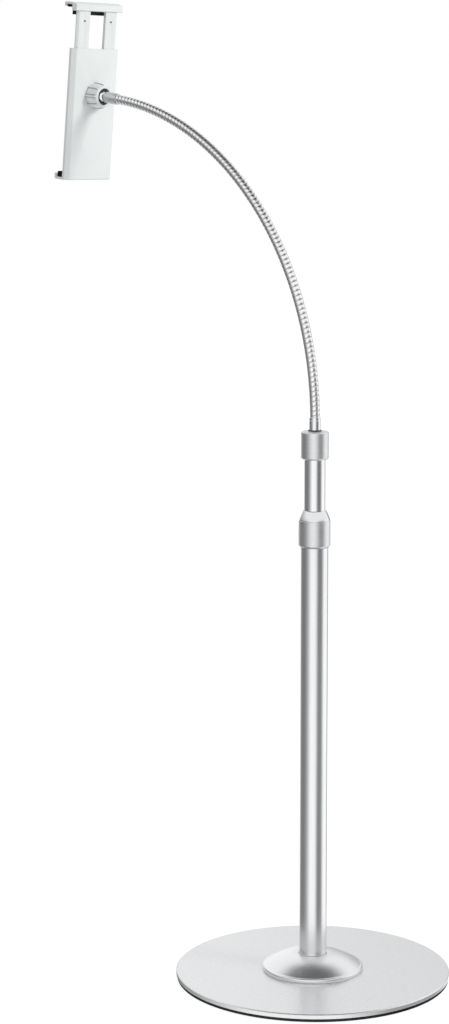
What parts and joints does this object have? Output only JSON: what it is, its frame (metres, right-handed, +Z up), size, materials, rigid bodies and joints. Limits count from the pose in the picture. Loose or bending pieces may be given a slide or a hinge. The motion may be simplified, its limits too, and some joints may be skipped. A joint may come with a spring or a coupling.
{
  "type": "adjustable tablet floor stand",
  "caption": "Floor stand with a weighted round base, telescopic pole, bending neck, ball joint and spring-loaded holder for a tablet.",
  "frame": {"origin": "centre of the base's underside, on the floor", "axes": "+Z up along the pole; the neck reaches towards -Y, which is the user's side; +X completes the frame"},
  "size_m": [0.3, 0.5164, 1.0653],
  "materials": {
    "pad_rubber": "matt black moulded rubber",
    "base_silver": "fine silver paint, semi-matt",
    "dome_chrome": "polished pressed steel",
    "tube_silver": "satin silver, fine lengthwise grain",
    "inner_tube_silver": "bright satin silver",
    "nut_silver": "turned satin silver",
    "neck_chrome": "bright ribbed steel",
    "ferrule_chrome": "polished",
    "ferrule_satin": "satin",
    "ball_chrome": "polished",
    "holder_white": "very light grey, satin",
    "ring_white": "very light grey, slightly glossy",
    "slider_silver": "very light grey, satin",
    "jaw_rubber": "soft matt black",
    "inner_nylon": "moulded black nylon",
    "zinc_steel": "zinc plated",
    "spring_steel": "drawn wire"
  },
  "bodies": {
    "base": {"base_pad": "pad_rubber", "base_plate": "base_silver", "base_washer": "zinc_steel", "base_bolt": "zinc_steel", "foot_plug": "zinc_steel", "hub_dome": "dome_chrome", "outer_tube": "tube_silver", "lock_sleeve": "inner_nylon", "lock_collet": "inner_nylon"},
    "lock_ring": {"lock_nut": "nut_silver"},
    "tube_bush": {"guide_bush": "inner_nylon"},
    "mast": {"inner_tube": "inner_tube_silver", "crown": "zinc_steel"},
    "collar": {"top_collar": "nut_silver"},
    "neck_root": {"neck_foot": "ferrule_chrome", "foot_washer": "inner_nylon", "neck_segment_01": "neck_chrome"},
    "neck_02": {"neck_segment_02": "neck_chrome"},
    "neck_03": {"neck_segment_03": "neck_chrome"},
    "neck_04": {"neck_segment_04": "neck_chrome"},
    "neck_05": {"neck_segment_05": "neck_chrome"},
    "neck_06": {"neck_segment_06": "neck_chrome"},
    "neck_07": {"neck_segment_07": "neck_chrome"},
    "neck_08": {"neck_segment_08": "neck_chrome"},
    "neck_09": {"neck_segment_09": "neck_chrome"},
    "neck_10": {"neck_segment_10": "neck_chrome"},
    "neck_11": {"neck_segment_11": "neck_chrome"},
    "neck_12": {"neck_segment_12": "neck_chrome"},
    "neck_head": {"neck_segment_13": "neck_chrome", "upper_ferrule": "ferrule_satin", "ball_stud": "ball_chrome"},
    "tilt_ring": {"ball_liner": "inner_nylon"},
    "pan_cup": {"ball_seat": "inner_nylon"},
    "holder": {"socket_barrel": "holder_white", "barrel_screws": "zinc_steel", "holder_shell": "holder_white", "front_cover": "holder_white", "front_cushion": "jaw_rubber", "lower_jaw_liner": "jaw_rubber", "anchor_pins": "zinc_steel", "spring_left": "spring_steel", "spring_right": "spring_steel"},
    "grip_ring": {"ring_nut": "ring_white"},
    "clamp": {"slider": "slider_silver", "spring_pins": "zinc_steel", "upper_jaw": "holder_white", "upper_jaw_liner": "jaw_rubber"}
  },
  "joints": [
    {"name": "lock_turn", "type": "hinge", "parent": "base", "child": "lock_ring", "pos_m": [0, 0, 0.49], "axis": [0, 0, 1], "range_deg": [0, 270]},
    {"name": "pole_height", "type": "slide", "parent": "base", "child": "tube_bush", "axis": [0, 0, 1], "range_m": [-0.054, 0.32]},
    {"name": "pole_swivel", "type": "hinge", "parent": "tube_bush", "child": "mast", "pos_m": [0, 0, 0.3], "axis": [0, 0, 1], "continuous": true},
    {"name": "collar_turn", "type": "hinge", "parent": "mast", "child": "collar", "pos_m": [0, 0, 0.588], "axis": [0, 0, 1], "range_deg": [0, 270]},
    {"name": "neck_swivel", "type": "hinge", "parent": "mast", "child": "neck_root", "pos_m": [0, 0, 0.6], "axis": [0, 0, 1], "continuous": true},
    {"name": "neck_bend_01", "type": "hinge", "parent": "neck_root", "child": "neck_02", "pos_m": [0, 0, 0.635], "axis": [1, 0, 0], "range_deg": [-7, 7]},
    {"name": "neck_bend_02", "type": "hinge", "parent": "neck_02", "child": "neck_03", "pos_m": [0, -0.00493, 0.676], "axis": [1, 0, 0], "range_deg": [-7, 7]},
    {"name": "neck_bend_03", "type": "hinge", "parent": "neck_03", "child": "neck_04", "pos_m": [0, -0.01471, 0.71613], "axis": [1, 0, 0], "range_deg": [-7, 7]},
    {"name": "neck_bend_04", "type": "hinge", "parent": "neck_04", "child": "neck_05", "pos_m": [0, -0.0292, 0.7548], "axis": [1, 0, 0], "range_deg": [-7, 7]},
    {"name": "neck_bend_05", "type": "hinge", "parent": "neck_05", "child": "neck_06", "pos_m": [0, -0.04821, 0.79147], "axis": [1, 0, 0], "range_deg": [-7, 7]},
    {"name": "neck_bend_06", "type": "hinge", "parent": "neck_06", "child": "neck_07", "pos_m": [0, -0.07146, 0.82561], "axis": [1, 0, 0], "range_deg": [-7, 7]},
    {"name": "neck_bend_07", "type": "hinge", "parent": "neck_07", "child": "neck_08", "pos_m": [0, -0.0986, 0.85673], "axis": [1, 0, 0], "range_deg": [-7, 7]},
    {"name": "neck_bend_08", "type": "hinge", "parent": "neck_08", "child": "neck_09", "pos_m": [0, -0.12927, 0.88439], "axis": [1, 0, 0], "range_deg": [-7, 7]},
    {"name": "neck_bend_09", "type": "hinge", "parent": "neck_09", "child": "neck_10", "pos_m": [0, -0.16302, 0.9082], "axis": [1, 0, 0], "range_deg": [-7, 7]},
    {"name": "neck_bend_10", "type": "hinge", "parent": "neck_10", "child": "neck_11", "pos_m": [0, -0.19937, 0.92781], "axis": [1, 0, 0], "range_deg": [-7, 7]},
    {"name": "neck_bend_11", "type": "hinge", "parent": "neck_11", "child": "neck_12", "pos_m": [0, -0.23779, 0.94295], "axis": [1, 0, 0], "range_deg": [-7, 7]},
    {"name": "neck_bend_12", "type": "hinge", "parent": "neck_12", "child": "neck_head", "pos_m": [0, -0.27775, 0.95339], "axis": [1, 0, 0], "range_deg": [-7, 7]},
    {"name": "holder_tilt", "type": "hinge", "parent": "neck_head", "child": "tilt_ring", "pos_m": [0, -0.32615, 0.96002], "axis": [1, 0, 0], "range_deg": [-16.8, 13.2]},
    {"name": "holder_pan", "type": "hinge", "parent": "tilt_ring", "child": "pan_cup", "pos_m": [0, -0.32615, 0.96002], "axis": [0, 0.1045, 0.9945], "range_deg": [-15, 15]},
    {"name": "holder_roll", "type": "hinge", "parent": "pan_cup", "child": "holder", "pos_m": [0, -0.32615, 0.96002], "axis": [0, -0.9945, 0.1045], "continuous": true},
    {"name": "ring_turn", "type": "hinge", "parent": "holder", "child": "grip_ring", "pos_m": [0, -0.32615, 0.96002], "axis": [0, -0.9945, 0.1045], "range_deg": [-270, 0]},
    {"name": "clamp_slide", "type": "slide", "parent": "holder", "child": "clamp", "axis": [0, 0.1045, 0.9945], "range_m": [-0.041, 0.026], "stiffness_N_per_m": 160, "springref_m": -0.041, "deforming": ["spring_left", "spring_right"]}
  ]
}
